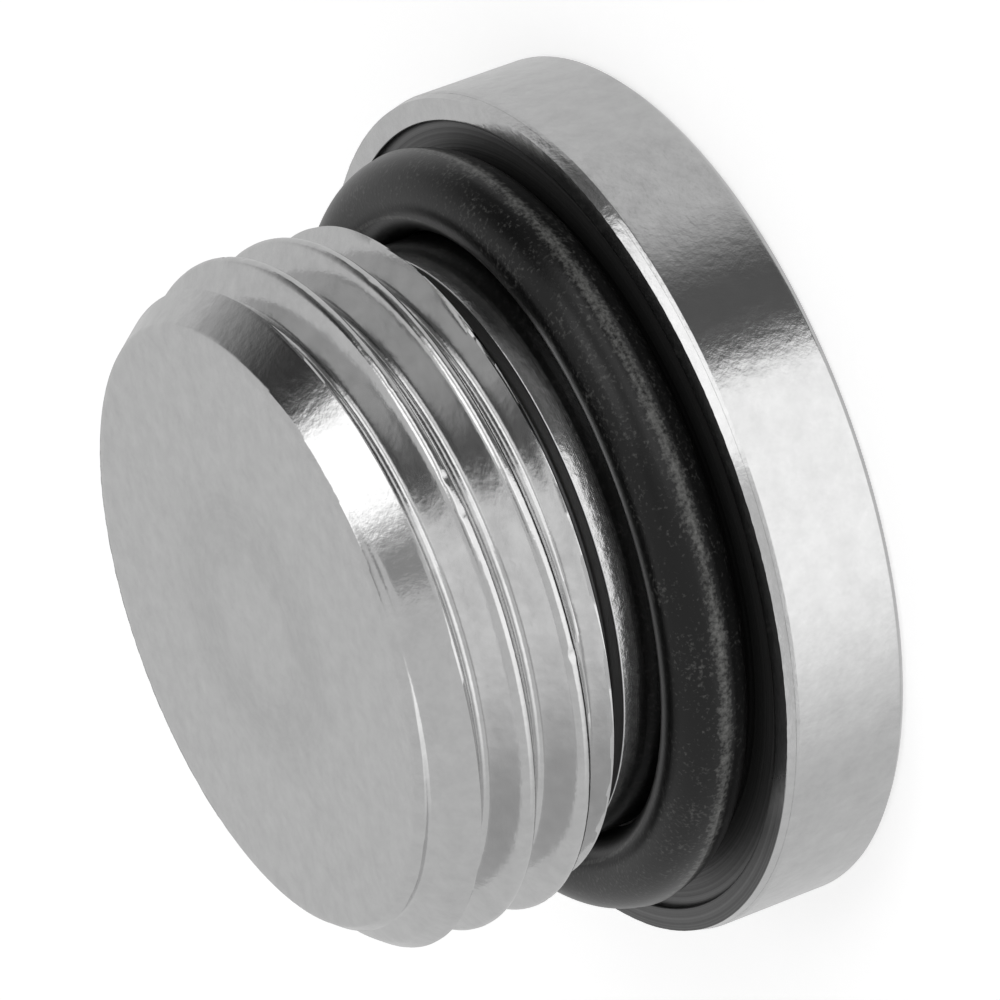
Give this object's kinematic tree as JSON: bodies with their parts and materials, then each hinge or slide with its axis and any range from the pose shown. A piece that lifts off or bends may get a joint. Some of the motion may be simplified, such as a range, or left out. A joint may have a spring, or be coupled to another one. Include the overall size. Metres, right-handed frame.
{
  "type": "pipe plug",
  "caption": "Round flanged blanking plug for a threaded pipe port: parallel pipe thread, hexagon drive socket in the head and a rubber sealing ring seated in the head's recess.",
  "frame": {"origin": "centre of the head's drive face, on the plug's axis", "axes": "+Z along the plug's axis, from the drive face to the end face of the thread"},
  "size_m": [0.026, 0.026, 0.0141],
  "materials": {
    "nickel_plate": "turned brass, bright nickel plated",
    "nitrile_rubber": "moulded nitrile rubber, satin black"
  },
  "bodies": {
    "root": {"plug_body": "nickel_plate", "o_ring": "nitrile_rubber"}
  },
  "joints": []
}
